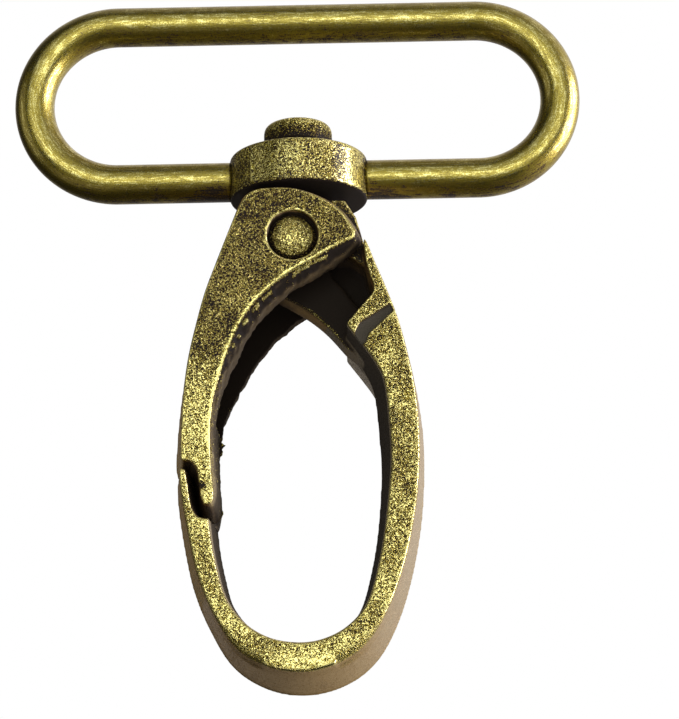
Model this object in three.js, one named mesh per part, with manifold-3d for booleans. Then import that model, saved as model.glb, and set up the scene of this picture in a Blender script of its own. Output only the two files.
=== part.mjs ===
// Swivel trigger snap hook on an oval strap ring, in antique brass. Millimetres, +Z up.
// Origin: centre of the ring's top bar. X runs along that bar, and the front faces -Y.
// The swivel turns about the Z axis. Both castings are drafted plates, widest at mid-plane.

import * as THREE from 'three';
import { mergeVertices } from 'three/addons/utils/BufferGeometryUtils.js';
import Module from 'manifold-3d';

const wasm = await Module();
wasm.setup();

// ---- Driving dimensions ----

const WIRE_RADIUS = 1.54;
const RING_WIDTH = 41.3; // between the wire's centrelines
const BAR_SPACING = 13.2; // top bar to bottom bar, between centrelines
const TENON_RADIUS = 1; // turned-down ends of the wire, pressed into the collar
const TENON_LENGTH = 2.1;

const COLLAR_RADIUS = 5.355;
const COLLAR_TOP = -11.47;
const COLLAR_BOTTOM = -14.92;
const COLLAR_CORNER = 0.35;
const COLLAR_BORE = 1.68;

const HEAD_RADIUS = 2.66;
const HEAD_TOP = -8.7;
const HEAD_UNDERSIDE = -10.5;
const HEAD_CORNER = 0.55;
const PIN_RADIUS = 1.6;
const PIN_FOOT = -16.85;

const FACE = 5.2; // front and back faces of both castings, from mid-plane
const SHOULDER = 4.1; // where the worn bevel of the gate ends
const BACK_FULLNESS = 0.42; // how much further the back cheek reaches into the opening
const CHANNEL = 3.3; // inner faces of the gate's cheeks
const CORE = 3; // thick part of the hook between the cheeks
const WEB = 1.3; // thin web round the pivot
const POCKET_FLOOR = 0.5; // thinnest part of the web, beside the rim

const BOSS_RADIUS = 2.5;
const BOSS_TOP = -15.08;
const BLOCK_TOP = -15.85;
const BLOCK_FOOT = -17.25;

const PIVOT = { x: -0.45, z: -19.32 };
const RIVET_RADIUS = 1.1;
const RIVET_PLAY = 0.06;
const RECESS_RADIUS = 1.94;
const RECESS_FLOOR = 4.3;
const PIVOT_BOSS_RADIUS = 2.2;

const SPRING_WIRE_RADIUS = 0.27;
const COIL_RADIUS = 1.55;
const COIL_PITCH = 0.6;
const COIL_BACK = -1.62; // y of the turn next to the web

const SEAT_GAP = 0.05; // between pieces that are pressed or seated together

// ---- Materials ----

const castBrass = new THREE.MeshStandardMaterial({ color: 0x8c7a34, roughness: 0.4, metalness: 0.9 });
const wireBrass = new THREE.MeshStandardMaterial({ color: 0x84713a, roughness: 0.3, metalness: 0.9 });
const springSteel = new THREE.MeshStandardMaterial({ color: 0x4a4540, roughness: 0.45, metalness: 0.9 });

// ---- Closed bodies, joined and cut ----

function signedVolume(points, index) {
  const [a, b, c] = [new THREE.Vector3(), new THREE.Vector3(), new THREE.Vector3()];
  let volume = 0;
  for (let i = 0; i < index.length; i += 3) {
    a.fromArray(points, index[i] * 3);
    b.fromArray(points, index[i + 1] * 3);
    c.fromArray(points, index[i + 2] * 3);
    volume += a.dot(b.cross(c)) / 6;
  }
  return volume;
}

function bodyOf(geometry) {
  const bare = geometry.clone();
  bare.deleteAttribute('normal');
  bare.deleteAttribute('uv');
  const merged = mergeVertices(bare, 1e-4);
  const points = new Float32Array(merged.attributes.position.array);
  let triangles = Array.from(merged.index.array);
  if (signedVolume(points, triangles) < 0) triangles = triangles.reverse();
  const mesh = new wasm.Mesh({
    numProp: 3,
    vertProperties: points,
    triVerts: new Uint32Array(triangles),
  });
  return new wasm.Manifold(mesh);
}

function geometryOf(body) {
  const mesh = body.getMesh();
  const geometry = new THREE.BufferGeometry();
  geometry.setAttribute('position', new THREE.BufferAttribute(mesh.vertProperties, 3));
  geometry.setIndex(new THREE.BufferAttribute(mesh.triVerts, 1));
  geometry.computeVertexNormals();
  return geometry;
}

// A body through loops of equal length, one at each [y, loop of Vector2(x, z)].
function loft(levels) {
  const count = levels[0][1].length;
  const points = levels.flatMap(([y, loop]) => loop.flatMap((point) => [point.x, y, point.y]));
  const index = [];
  for (let level = 1; level < levels.length; level += 1) {
    for (let i = 0; i < count; i += 1) {
      const a = (level - 1) * count + i;
      const b = (level - 1) * count + ((i + 1) % count);
      index.push(a, b, a + count, b, b + count, a + count);
    }
  }
  const last = (levels.length - 1) * count;
  const front = THREE.ShapeUtils.triangulateShape(levels[0][1], []);
  const back = THREE.ShapeUtils.triangulateShape(levels.at(-1)[1], []);
  for (const [a, b, c] of front) index.push(a, c, b);
  for (const [a, b, c] of back) index.push(last + a, last + b, last + c);
  const geometry = new THREE.BufferGeometry();
  geometry.setAttribute('position', new THREE.Float32BufferAttribute(points, 3));
  geometry.setIndex(index);
  return bodyOf(geometry);
}

function counterClockwise(corners) {
  const loop = corners.map(([x, z]) => new THREE.Vector2(x, z));
  return THREE.ShapeUtils.isClockWise(loop) ? loop.reverse() : loop;
}

function plate(corners, y0, y1) {
  const loop = counterClockwise(corners);
  return loft([[y0, loop], [y1, loop]]);
}

// A cutter whose outline is `face` at both faces and `middle` at mid-plane.
function draftedCutter(face, middle) {
  const outer = counterClockwise(face);
  const reach = FACE + 1;
  return loft([[-reach, outer], [-FACE, outer], [0, counterClockwise(middle)], [FACE, outer], [reach, outer]]);
}

// One closed loop from stretches of [x, z, ...amounts], each a smooth curve of `steps` points.
function outline(stretches) {
  const rows = [];
  for (const { through, steps } of stretches) {
    const curve = new THREE.SplineCurve(through.map(([x, z]) => new THREE.Vector2(x, z)));
    for (let i = 0; i < steps; i += 1) {
      const place = (i / steps) * (through.length - 1);
      const before = through[Math.floor(place)].slice(2);
      const after = through[Math.floor(place) + 1].slice(2);
      const amounts = before.map((amount, k) => THREE.MathUtils.lerp(amount, after[k], place % 1));
      rows.push({ point: curve.getPoint(i / steps), amounts });
    }
  }
  return THREE.ShapeUtils.isClockWise(rows.map((row) => row.point)) ? rows.reverse() : rows;
}

// The loop pushed outwards, square to itself, by the sum of its first `terms` amounts and any extra.
function swollen(rows, terms, extra = () => 0) {
  return rows.map((row, i) => {
    const before = rows[(i + rows.length - 1) % rows.length].point;
    const after = rows[(i + 1) % rows.length].point;
    const along = after.clone().sub(before).normalize();
    const push = row.amounts.slice(0, terms).reduce((sum, amount) => sum + amount, extra(row.point));
    return new THREE.Vector2(row.point.x + along.y * push, row.point.y - along.x * push);
  });
}

function lathe(profile, segments) {
  return new THREE.LatheGeometry(profile.map(([r, h]) => new THREE.Vector2(r, h)), segments);
}

// Turned about the swivel axis: profile of [radius, z].
function turnedUpright(profile, segments) {
  return bodyOf(lathe(profile, segments).rotateX(Math.PI / 2));
}

// Turned about the rivet's axis: profile of [radius, y].
function turnedOnPivot(profile, segments = 32) {
  return bodyOf(lathe(profile, segments).translate(PIVOT.x, 0, PIVOT.z));
}

function pivotRod(radius, y0, y1) {
  return turnedOnPivot([[0, y0], [radius, y0], [radius, y1], [0, y1]]);
}

function uprightRod(radius, z0, z1) {
  return turnedUpright([[0, z0], [radius, z0], [radius, z1], [0, z1]], 40);
}

// ---- Strap ring: one round wire bent to an oval, its ends held in the collar ----

class StrapLoop extends THREE.Curve {
  getPoint(t, target = new THREE.Vector3()) {
    const bend = BAR_SPACING / 2;
    const barEnd = RING_WIDTH / 2 - bend;
    const start = COLLAR_RADIUS - 0.6;
    const lower = barEnd - start;
    const half = lower + Math.PI * bend + barEnd;
    const fromEnd = Math.min(t, 1 - t) * 2 * half;
    const side = t > 0.5 ? -1 : 1;
    if (fromEnd < lower) return target.set(side * (start + fromEnd), 0, -BAR_SPACING);
    const angle = (fromEnd - lower) / bend;
    if (angle > Math.PI) return target.set(side * (half - fromEnd), 0, 0);
    return target.set(side * (barEnd + bend * Math.sin(angle)), 0, -bend - bend * Math.cos(angle));
  }
}

function roundSection(radius, sides) {
  const corner = (_, i) => {
    const angle = (2 * Math.PI * i) / sides;
    return new THREE.Vector2(radius * Math.cos(angle), radius * Math.sin(angle));
  };
  return new THREE.Shape(Array.from({ length: sides }, corner));
}

function wireAlong(curve, radius, sides, steps) {
  const options = { extrudePath: curve, steps, bevelEnabled: false };
  return bodyOf(new THREE.ExtrudeGeometry(roundSection(radius, sides), options));
}

function tenon(side, radius, depth) {
  const bar = new THREE.CylinderGeometry(radius, radius, depth + 2, 24).rotateZ(Math.PI / 2);
  const centre = COLLAR_RADIUS - depth + (depth + 2) / 2;
  return bodyOf(bar.translate(side * centre, 0, -BAR_SPACING));
}

function ring() {
  const seat = uprightRod(COLLAR_RADIUS + SEAT_GAP, COLLAR_BOTTOM - 1, COLLAR_TOP + 1);
  return wireAlong(new StrapLoop(), WIRE_RADIUS, 16, 84)
    .subtract(seat)
    .add(tenon(1, TENON_RADIUS, TENON_LENGTH))
    .add(tenon(-1, TENON_RADIUS, TENON_LENGTH));
}

// ---- Swivel: collar and pin ----

function swivelCollar() {
  const edge = COLLAR_RADIUS - COLLAR_CORNER;
  const barrel = turnedUpright([
    [0, COLLAR_BOTTOM],
    [edge, COLLAR_BOTTOM],
    [COLLAR_RADIUS, COLLAR_BOTTOM + COLLAR_CORNER],
    [COLLAR_RADIUS, COLLAR_TOP - COLLAR_CORNER],
    [edge, COLLAR_TOP],
    [0, COLLAR_TOP],
  ], 64);
  return barrel
    .subtract(uprightRod(COLLAR_BORE, COLLAR_BOTTOM - 1, COLLAR_TOP + 1))
    .subtract(tenon(1, TENON_RADIUS + SEAT_GAP, TENON_LENGTH + SEAT_GAP))
    .subtract(tenon(-1, TENON_RADIUS + SEAT_GAP, TENON_LENGTH + SEAT_GAP));
}

function swivelPin() {
  return turnedUpright([
    [0, PIN_FOOT],
    [PIN_RADIUS, PIN_FOOT],
    [PIN_RADIUS, HEAD_UNDERSIDE],
    [HEAD_RADIUS, HEAD_UNDERSIDE],
    [HEAD_RADIUS, HEAD_TOP - HEAD_CORNER],
    [HEAD_RADIUS - HEAD_CORNER, HEAD_TOP],
    [0, HEAD_TOP],
  ], 40);
}

// ---- Hook: arm, bow and nose, with the core that the gate's cheeks straddle ----

// Rows of x and z on the front face, and how far the mid-plane ridge stands outside them.
function armOutline() {
  const outer = [
    [-9.05, -37.3, 0.42], [-8.95, -39.2, 0.42], [-8.46, -42.2, 0.48], [-7.75, -45.4, 0.5],
    [-6.6, -48.3, 0.5], [-4.9, -50.9, 0.6], [-2.5, -52.25, 0.8], [0.1, -52.6, 0.88],
    [2.6, -51.95, 0.9], [4.6, -50.5, 0.85], [6.15, -48.0, 0.75], [7.4, -44.7, 0.6],
    [8.25, -41, 0.5], [8.66, -37.6, 0.42], [8.73, -34.4, 0.4], [8.5, -31.4, 0.35],
    [8.1, -28.95, 0.3], [7.45, -26.15, 0.3], [6.66, -23.7, 0.25], [5.81, -21.5, 0.2],
    [5.47, -20.65, 0.15], [5.2, -20.05, 0.1], [4.99, -19.7, 0.05],
  ];
  const rim = [[4.99, -19.7, 0.05], [4.9, -19.85, 0.05], [4.94, -20.6, 0.05], [5, -21.3, 0.05],
    [5.28, -22.5, 0.05], [5.6, -23.5, 0.05], [5.45, -24.05, 0.05]];
  const ledge = [[5.45, -24.05, 0.05], [3.62, -26.15, 0.05]];
  const underLedge = [[3.62, -26.15, 0.05], [3.5, -26.45, 0.1], [3.8, -26.9, 0.1], [4.5, -27.85, 0.15]];
  const inner = [
    [4.5, -27.85, 0.15], [5.55, -29.4, 0.35], [6.2, -30.95, 0.58], [6.48, -33.9, 0.62],
    [6.56, -37, 0.6], [6.1, -41.3, 0.5], [5.5, -44.6, 0.5], [4.6, -47.5, 0.5],
    [3.2, -49.2, 0.55], [1.4, -50.15, 0.55], [-0.5, -50.4, 0.55], [-2.6, -50, 0.55],
    [-4.4, -48.85, 0.5], [-5.7, -47, 0.4], [-6.35, -44.7, 0.4], [-6.75, -42.5, 0.4],
    [-6.95, -40.5, 0.4], [-7.2, -38.6, 0.4], [-7.6, -37.4, 0.3],
  ];
  const tip = [[-7.6, -37.4, 0.3], [-9.05, -37.3, 0.42]];
  return outline([
    { through: outer, steps: 46 },
    { through: rim, steps: 12 },
    { through: ledge, steps: 2 },
    { through: underLedge, steps: 5 },
    { through: inner, steps: 38 },
    { through: tip, steps: 2 },
  ]);
}

function webOutline() {
  const lowerEdge = [[-1.6, -22.9, 0.1], [0.28, -23.9, 0.3], [1.26, -24.69, 0.22], [2.26, -25.68, 0.15],
    [3.5, -27.2, 0.1]];
  const insideArm = [[3.5, -27.2, 0], [5.2, -28.3, 0], [6.6, -26.5, 0], [5.9, -23, 0], [5.3, -20.9, 0]];
  const rightEdge = [[5.3, -20.9, 0], [4.75, -19.15, 0], [4.3, -17.5, 0], [3.5, -16.1, 0]];
  const leftEdge = [[-2.4, -16.1, 0], [-3.1, -17.6, 0], [-3.55, -19.3, 0], [-3.1, -21.2, 0], [-1.6, -22.9, 0.1]];
  return outline([
    { through: lowerEdge, steps: 10 },
    { through: insideArm, steps: 4 },
    { through: rightEdge, steps: 6 },
    { through: [[3.5, -16.1, 0], [-2.4, -16.1, 0]], steps: 1 },
    { through: leftEdge, steps: 10 },
  ]);
}

function hookCore() {
  const web = webOutline();
  const webFace = swollen(web, 0);
  const block = [[-2.55, BLOCK_TOP], [3.55, BLOCK_TOP], [4.4, -17.3], [4.6, -18.2], [3.2, BLOCK_FOOT],
    [-2.9, BLOCK_FOOT]];
  const column = [[3.2, -17.2], [4.38, -17.2], [4.88, -19.15], [5.4, -20.7], [5.6, -21.6],
    [5, -21.3], [3.2, -19.9]];
  return loft([[-WEB, webFace], [0, swollen(web, 1)], [WEB, webFace]])
    .add(plate(block, -CORE, CORE))
    .add(plate(column, -CORE, CORE))
    .subtract(pocket(-1))
    .subtract(pocket(1))
    .add(uprightRod(BOSS_RADIUS, -17, BOSS_TOP))
    .add(pivotRod(PIVOT_BOSS_RADIUS, 0, CORE));
}

// What the nose loses so that the tip of the gate can lap inside it.
function noseStep() {
  const face = [[-8.95, -36], [-8.85, -37.5], [-8.45, -38.6], [-8.32, -39.5], [-8.15, -40.4], [-7.75, -41],
    [-7.2, -41.1], [-5, -41.1], [-5, -36]];
  const middle = [[-8.6, -36], [-8.33, -37.3], [-8.04, -38.4], [-7.9, -39.4], [-7.76, -40.2], [-7.5, -40.7],
    [-7.1, -40.85], [-5, -40.85], [-5, -36]];
  return draftedCutter(face, middle);
}

// Shallow groove cast across the front of the arm, just below the ledge.
function groove() {
  const depth = 0.45;
  const corners = [[4.5, -26.35], [6.75, -24.93], [7.02, -25.42], [5.12, -27.2], [4.88, -27.95], [4.25, -27.95],
    [4.1, -27.1]];
  return plate(corners, -FACE - 1, -FACE + depth);
}

// Pocket cast into the web beside the rim, the same on both sides.
function pocket(side) {
  const corners = [[2.2, -20.4], [4.94, -20.4], [5, -21.3], [5.28, -22.5], [5.6, -23.5], [5.45, -24.05],
    [4.95, -24.25], [4.3, -23.9], [3.3, -22.5], [2.5, -21.6]];
  return side < 0 ? plate(corners, -CORE - 1, -POCKET_FLOOR) : plate(corners, POCKET_FLOOR, CORE + 1);
}

function hookBody() {
  const arm = armOutline();
  const armFace = swollen(arm, 0);
  return loft([[-FACE, armFace], [0, swollen(arm, 1)], [FACE, armFace]])
    .add(hookCore())
    .subtract(noseStep())
    .subtract(groove())
    .subtract(uprightRod(PIN_RADIUS + SEAT_GAP, PIN_FOOT - SEAT_GAP, BOSS_TOP + 1))
    .subtract(pivotRod(RIVET_RADIUS + SEAT_GAP, -FACE, FACE));
}

// ---- Gate: two cheeks joined by a thumb wall, running into a solid arm with a lapped tip ----

// Rows of x and z on the front face, the width of the worn bevel, and the draft below it.
function gateOutline() {
  const left = [
    [-3.95, -16.15, 0.3, 0], [-4.5, -17.05, 0.2, 0.15], [-5.2, -18.7, 0.12, 0.3],
    [-6.17, -21.2, 0.1, 0.35], [-7.09, -23.7, 0.1, 0.35], [-7.77, -26.2, 0.1, 0.35],
    [-8.3, -28.5, 0.1, 0.35], [-8.62, -30.6, 0.1, 0.37], [-8.82, -32.6, 0.1, 0.4],
    [-8.92, -34.5, 0.1, 0.45], [-8.95, -36.4, 0.1, 0.45], [-8.5, -38.5, 0.1, 0.3], [-8.1, -40.05, 0.1, 0.25],
  ];
  const inner = [
    [-6.6, -40.05, 0.1, 0.25], [-6.6, -38.8, 0.25, 0.15], [-6.76, -37.4, 0.3, 0.15],
    [-6.83, -34.6, 0.3, 0.15], [-6.72, -33.2, 0.35, 0.1], [-6.5, -31.8, 0.4, 0.1],
    [-5.95, -29.8, 0.6, 0.05], [-5.3, -27.85, 0.85, 0], [-4.5, -26.1, 0.95, 0],
    [-3.4, -24.5, 1.05, 0], [-2.2, -23.3, 1.1, 0], [-0.7, -22.15, 1.1, 0],
    [1, -21.2, 1.1, 0], [2.5, -20.35, 1, 0], [3.5, -19.9, 0.75, 0], [4.05, -19.72, 0.5, 0],
  ];
  const top = [
    [4.05, -19.72, 0.5, 0], [4.22, -19.4, 0.45, 0], [4.02, -18.78, 0.42, 0], [3.08, -17.42, 0.35, 0],
    [1.6, -16.35, 0.33, 0], [-0.27, -15.66, 0.3, 0], [-2, -15.54, 0.28, 0], [-3.25, -15.7, 0.28, 0],
    [-3.95, -16.15, 0.3, 0],
  ];
  return outline([
    { through: left, steps: 26 },
    { through: [[-8.1, -40.05, 0.1, 0.25], [-6.6, -40.05, 0.1, 0.25]], steps: 4 },
    { through: inner, steps: 32 },
    { through: top, steps: 20 },
  ]);
}

function channel() {
  const thumbWall = [[-2.2, -14], [-3.1, -16.8], [-3.95, -19], [-4.85, -21.4], [-5.7, -23.8], [-6.35, -26.3],
    [-6.85, -28.6], [-7.12, -30.6], [-7.15, -32.2], [-6.85, -33.3]];
  const mouth = [[-5.8, -33.8], [-4, -33.6], [7, -28], [7, -14]];
  return plate([...thumbWall, ...mouth], -CHANNEL, CHANNEL);
}

// What the gate loses so that its tip is a tongue inside the nose, all but touching it at mid-plane.
function tongueStep() {
  const face = [[-11, -36.35], [-8.3, -36.4], [-7.95, -36.77], [-7.72, -37.2], [-7.6, -38.2], [-7.5, -39.4],
    [-7.25, -40.1], [-7.2, -42], [-11, -42]];
  const middle = [[-11, -36.75], [-8.38, -36.75], [-8.22, -37.1], [-8.07, -37.7], [-7.97, -38.4],
    [-7.83, -39.4], [-7.69, -40.1], [-7.64, -42], [-11, -42]];
  return draftedCutter(face, middle);
}

function backFullness({ x, y: z }) {
  const { smoothstep } = THREE.MathUtils;
  return x > -6.6 ? BACK_FULLNESS * smoothstep(z, -31, -26) * (1 - smoothstep(z, -21.2, -20)) : 0;
}

function gate() {
  const rows = gateOutline();
  const face = swollen(rows, 0);
  const levels = [[-FACE, face], [-SHOULDER, swollen(rows, 1)], [0, swollen(rows, 2)],
    [SHOULDER, swollen(rows, 1, backFullness)], [FACE, face]];
  return loft(levels)
    .subtract(channel())
    .subtract(tongueStep())
    .subtract(pivotRod(RIVET_RADIUS + RIVET_PLAY, -FACE - 1, FACE + 1))
    .subtract(pivotRod(RECESS_RADIUS, -FACE - 1, -RECESS_FLOOR))
    .subtract(pivotRod(RECESS_RADIUS, RECESS_FLOOR, FACE + 1));
}

// ---- Rivet and spring ----

function pivotRivet() {
  const seat = RECESS_FLOOR + SEAT_GAP;
  return turnedOnPivot([
    [0, -5.15], [0.7, -5.1], [1.3, -4.95], [1.62, -4.74], [1.77, -4.5], [1.77, -seat],
    [RIVET_RADIUS, -seat], [RIVET_RADIUS, seat],
    [1.55, seat], [1.5, 4.62], [1.15, 4.85], [0, 4.95],
  ]);
}

function gateSpring() {
  const turn = (degrees, reach) => new THREE.Vector3(
    PIVOT.x + reach * Math.cos(THREE.MathUtils.degToRad(degrees)),
    COIL_BACK - (COIL_PITCH * (degrees - 90)) / 360,
    PIVOT.z + reach * Math.sin(THREE.MathUtils.degToRad(degrees)),
  );
  const firstDegrees = 90;
  const lastDegrees = 143 + 2 * 360;
  const points = [new THREE.Vector3(2.85, COIL_BACK, -17.62), new THREE.Vector3(1.2, COIL_BACK, -17.7)];
  for (let degrees = firstDegrees; degrees <= lastDegrees; degrees += 30) points.push(turn(degrees, COIL_RADIUS));
  const leave = turn(lastDegrees, COIL_RADIUS);
  for (const length of [2.5, 5.3]) {
    points.push(new THREE.Vector3(leave.x - 0.6 * length, leave.y, leave.z - 0.8 * length));
  }
  return wireAlong(new THREE.CatmullRomCurve3(points), SPRING_WIRE_RADIUS, 8, 80);
}

// ---- Assembly ----

function piece(name, body, material) {
  const mesh = new THREE.Mesh(geometryOf(body), material);
  mesh.name = name;
  return mesh;
}

const strapRing = new THREE.Group();
strapRing.add(piece('ring', ring(), wireBrass));
strapRing.add(piece('swivel_collar', swivelCollar(), castBrass));

const hook = new THREE.Group();
hook.add(piece('swivel_pin', swivelPin(), castBrass));
hook.add(piece('hook_body', hookBody(), castBrass));
hook.add(piece('pivot_rivet', pivotRivet(), castBrass));
hook.add(piece('gate_spring', gateSpring(), springSteel));
hook.add(piece('gate', gate(), castBrass));

const snapHook = new THREE.Group();
snapHook.add(strapRing);
snapHook.add(hook);

export default snapHook;
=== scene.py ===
"""Swivel trigger snap hook on an oval strap ring, in antique brass.

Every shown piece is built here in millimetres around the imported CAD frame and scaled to
metres at the end. The castings are lofted, cut, remeshed fine and smoothed, so their edges
are rounded as cast metal is. Each vertex then carries how open it lies ("open") and how
sharply the surface turns there ("edge"), and the brass is rubbed bright or left dark by both.
"""

import math

import bmesh
import bpy
import numpy as np
from mathutils import Matrix, Vector, noise
from mathutils.bvhtree import BVHTree


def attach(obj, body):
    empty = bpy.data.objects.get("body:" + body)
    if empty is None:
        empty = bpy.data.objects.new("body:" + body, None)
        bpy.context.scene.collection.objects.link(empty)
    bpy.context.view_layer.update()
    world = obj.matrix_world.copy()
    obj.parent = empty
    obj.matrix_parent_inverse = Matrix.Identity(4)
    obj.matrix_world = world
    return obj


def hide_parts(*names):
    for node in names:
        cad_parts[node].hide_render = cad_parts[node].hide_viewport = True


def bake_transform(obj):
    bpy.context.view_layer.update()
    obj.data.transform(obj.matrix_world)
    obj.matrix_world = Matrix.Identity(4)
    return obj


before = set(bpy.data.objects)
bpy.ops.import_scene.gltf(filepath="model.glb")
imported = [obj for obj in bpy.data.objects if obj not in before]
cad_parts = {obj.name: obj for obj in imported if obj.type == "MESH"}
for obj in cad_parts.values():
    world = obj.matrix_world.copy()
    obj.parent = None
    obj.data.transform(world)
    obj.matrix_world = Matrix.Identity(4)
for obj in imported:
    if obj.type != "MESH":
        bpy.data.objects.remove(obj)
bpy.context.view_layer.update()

MM = 0.001

# ---- Driving dimensions, in millimetres, as in the CAD model ----

WIRE_RADIUS = 1.54
RING_WIDTH = 41.3  # between the wire's centrelines
BAR_SPACING = 13.2
TENON_RADIUS = 1.0
TENON_LENGTH = 2.1

COLLAR_RADIUS = 5.355
COLLAR_TOP = -11.47
COLLAR_BOTTOM = -14.92
COLLAR_BORE = 1.68
COLLAR_CORNER = 0.3
SEAM_ANGLES = (-131, 49)  # the collar's two casting seams, in degrees from +X
SEAM_RADIUS = 0.14

HEAD_RADIUS = 2.66
HEAD_TOP = -8.66
HEAD_CORNER = 0.8
HEAD_LIP = 0.5  # height of the head's lower edge, below its rounded top
HEAD_UNDERSIDE = -10.5
PIN_RADIUS = 1.6
PIN_FOOT = -16.85
PIN_CORNER = 0.25

FACE = 5.2  # front and back faces of both castings, from mid-plane
SHOULDER = 4.1  # where the gate's worn bevel ends
BACK_FULLNESS = 0.42  # how much further the back cheek reaches into the opening
CHANNEL = 3.3  # inner faces of the gate's cheeks
CORE = 3.0  # thick part of the hook between the cheeks
WEB = 1.3  # thin web round the pivot
POCKET_FLOOR = 0.5  # thinnest part of the web, beside the rim
BOSS_RADIUS = 2.5
BOSS_TOP = -15.08

PIVOT = (-0.45, -19.32)
RIVET_RADIUS = 1.1
RECESS_RADIUS = 1.94
RECESS_FLOOR = 4.3
PIVOT_BOSS_RADIUS = 2.2

GROOVE_DEPTH = 0.45

SPRING_WIRE_RADIUS = 0.27
COIL_RADIUS = 1.55
COIL_PITCH = 0.6
COIL_BACK = -1.62

SEAT_GAP = 0.05  # clearance round a piece in its seat
OVERLAP = 0.02  # how far a seam or a wire's shoulder sinks into the collar
OVERSHOOT = 1  # how far a cutter stands out of what it cuts
ROLL = 0.2  # rounding of the hook's faces into its walls
BOW_ROLL = 0.75  # the same on the outside of the bow
BOW_HEIGHTS = (48.5, 51.7)  # how far down the fuller rounding starts, and where it is full
FLASH = 0.07  # height of the casting seam at mid-plane
FLASH_WIDTH = 0.16

VOXEL = 0.11  # mesh size of the two large castings
COLLAR_VOXEL = 0.1


# ---- Meshes from points and faces ----

def new_object(name, points, faces):
    """A mesh object with its faces pointing outwards."""
    mesh = bpy.data.meshes.new(name)
    mesh.from_pydata([tuple(p) for p in points], [], faces)
    work = bmesh.new()
    work.from_mesh(mesh)
    bmesh.ops.recalc_face_normals(work, faces=work.faces)
    work.to_mesh(mesh)
    work.free()
    obj = bpy.data.objects.new(name, mesh)
    bpy.context.scene.collection.objects.link(obj)
    return obj


def skin(name, loops):
    """A closed body through loops of equal length, each an array of points, capped at both ends."""
    count = len(loops[0])
    points = np.concatenate(loops)
    faces = [tuple(range(count)), tuple(range(len(points) - 1, len(points) - count - 1, -1))]
    for level in range(len(loops) - 1):
        for i in range(count):
            a, b = level * count + i, level * count + (i + 1) % count
            faces.append((a, b, b + count, a + count))
    return new_object(name, points, faces)


def evaluated(obj):
    """The object's mesh with its modifiers applied, in place of the one it had."""
    graph = bpy.context.evaluated_depsgraph_get()
    mesh = bpy.data.meshes.new_from_object(obj.evaluated_get(graph), depsgraph=graph)
    old = obj.data
    obj.modifiers.clear()
    obj.data = mesh
    bpy.data.meshes.remove(old)
    return obj


def joined(base, *steps):
    """The base with each (operation, tool) applied in turn; the tools are used up."""
    for operation, tool in steps:
        modifier = base.modifiers.new("join", "BOOLEAN")
        modifier.operation = operation
        modifier.solver = "EXACT"
        modifier.object = tool
        evaluated(base)
        bpy.data.objects.remove(tool)
    return base


def cast(obj, voxel, rounds):
    """An even fine mesh of the body, with its edges softened as a casting's are."""
    remesh = obj.modifiers.new("cast", "REMESH")
    remesh.mode = "VOXEL"
    remesh.voxel_size = voxel
    remesh.use_smooth_shade = True
    soften = obj.modifiers.new("soften", "SMOOTH")
    soften.factor = 0.5
    soften.iterations = rounds
    return evaluated(obj)


# ---- Outlines in the XZ plane ----

def through(rows, steps):
    """A smooth curve through rows of x, z and any amounts that go with them, without its end."""
    rows = np.array(rows, float)
    places = np.arange(steps) / steps * (len(rows) - 1)
    index = places.astype(int)
    t = (places - index)[:, None]
    a, b = rows[np.maximum(index - 1, 0)], rows[index]
    c, d = rows[index + 1], rows[np.minimum(index + 2, len(rows) - 1)]
    bend = 2 * a - 5 * b + 4 * c - d
    twist = 3 * b - 3 * c + d - a
    return b + 0.5 * (c - a) * t + 0.5 * bend * t**2 + 0.5 * twist * t**3


def counter_clockwise(rows):
    rows = np.array(rows, float)
    x, z = rows[:, 0], rows[:, 1]
    area = np.sum(x * np.roll(z, -1) - np.roll(x, -1) * z)
    return rows if area > 0 else rows[::-1]


def swollen(rows, amounts):
    """The outline's points pushed outwards, square to itself, by the amounts."""
    along = np.roll(rows[:, :2], -1, axis=0) - np.roll(rows[:, :2], 1, axis=0)
    along /= np.linalg.norm(along, axis=1)[:, None]
    outwards = np.column_stack([along[:, 1], -along[:, 0]])
    return rows[:, :2] + outwards * np.broadcast_to(amounts, len(rows))[:, None]


def at_depth(loop, y):
    return np.column_stack([loop[:, 0], np.broadcast_to(y, len(loop)), loop[:, 1]])


def loft(name, levels):
    return skin(name, [at_depth(loop, y) for y, loop in levels])


def plate(corners, y0, y1):
    loop = counter_clockwise(corners)
    return loft("tool", [(y0, loop), (y1, loop)])


def drafted_cutter(face, middle):
    """A cutter whose outline is `face` at both faces and `middle` at mid-plane."""
    outer, inner = counter_clockwise(face), counter_clockwise(middle)
    reach = FACE + OVERSHOOT
    return loft("tool", [(-reach, outer), (-FACE, outer), (0, inner), (FACE, outer), (reach, outer)])


def turned(name, profile, segments, axis="Z", centre=(0.0, 0.0)):
    """A body of revolution from a profile of (radius, height) that starts and ends on the axis."""
    angles = np.arange(segments) * 2 * math.pi / segments
    points, rows = [], []
    for radius, height in profile:
        reach = 1 if radius == 0 else segments
        rows.append(list(range(len(points), len(points) + reach)))
        for angle in angles[:reach]:
            across, side = radius * math.cos(angle), radius * math.sin(angle)
            if axis == "Z":
                points.append((across, side, height))
            else:
                points.append((centre[0] + across, height, centre[1] + side))
    faces = []
    for low, high in zip(rows, rows[1:]):
        for i in range(segments):
            j = (i + 1) % segments
            below = [low[i % len(low)], low[j % len(low)]]
            above = [high[j % len(high)], high[i % len(high)]]
            faces.append(tuple(dict.fromkeys(below + above)))
    return new_object(name, points, faces)


def pivot_rod(radius, y0, y1):
    return turned("tool", [(0, y0), (radius, y0), (radius, y1), (0, y1)], 96, "Y", PIVOT)


def upright_rod(radius, z0, z1):
    return turned("tool", [(0, z0), (radius, z0), (radius, z1), (0, z1)], 128)


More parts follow.
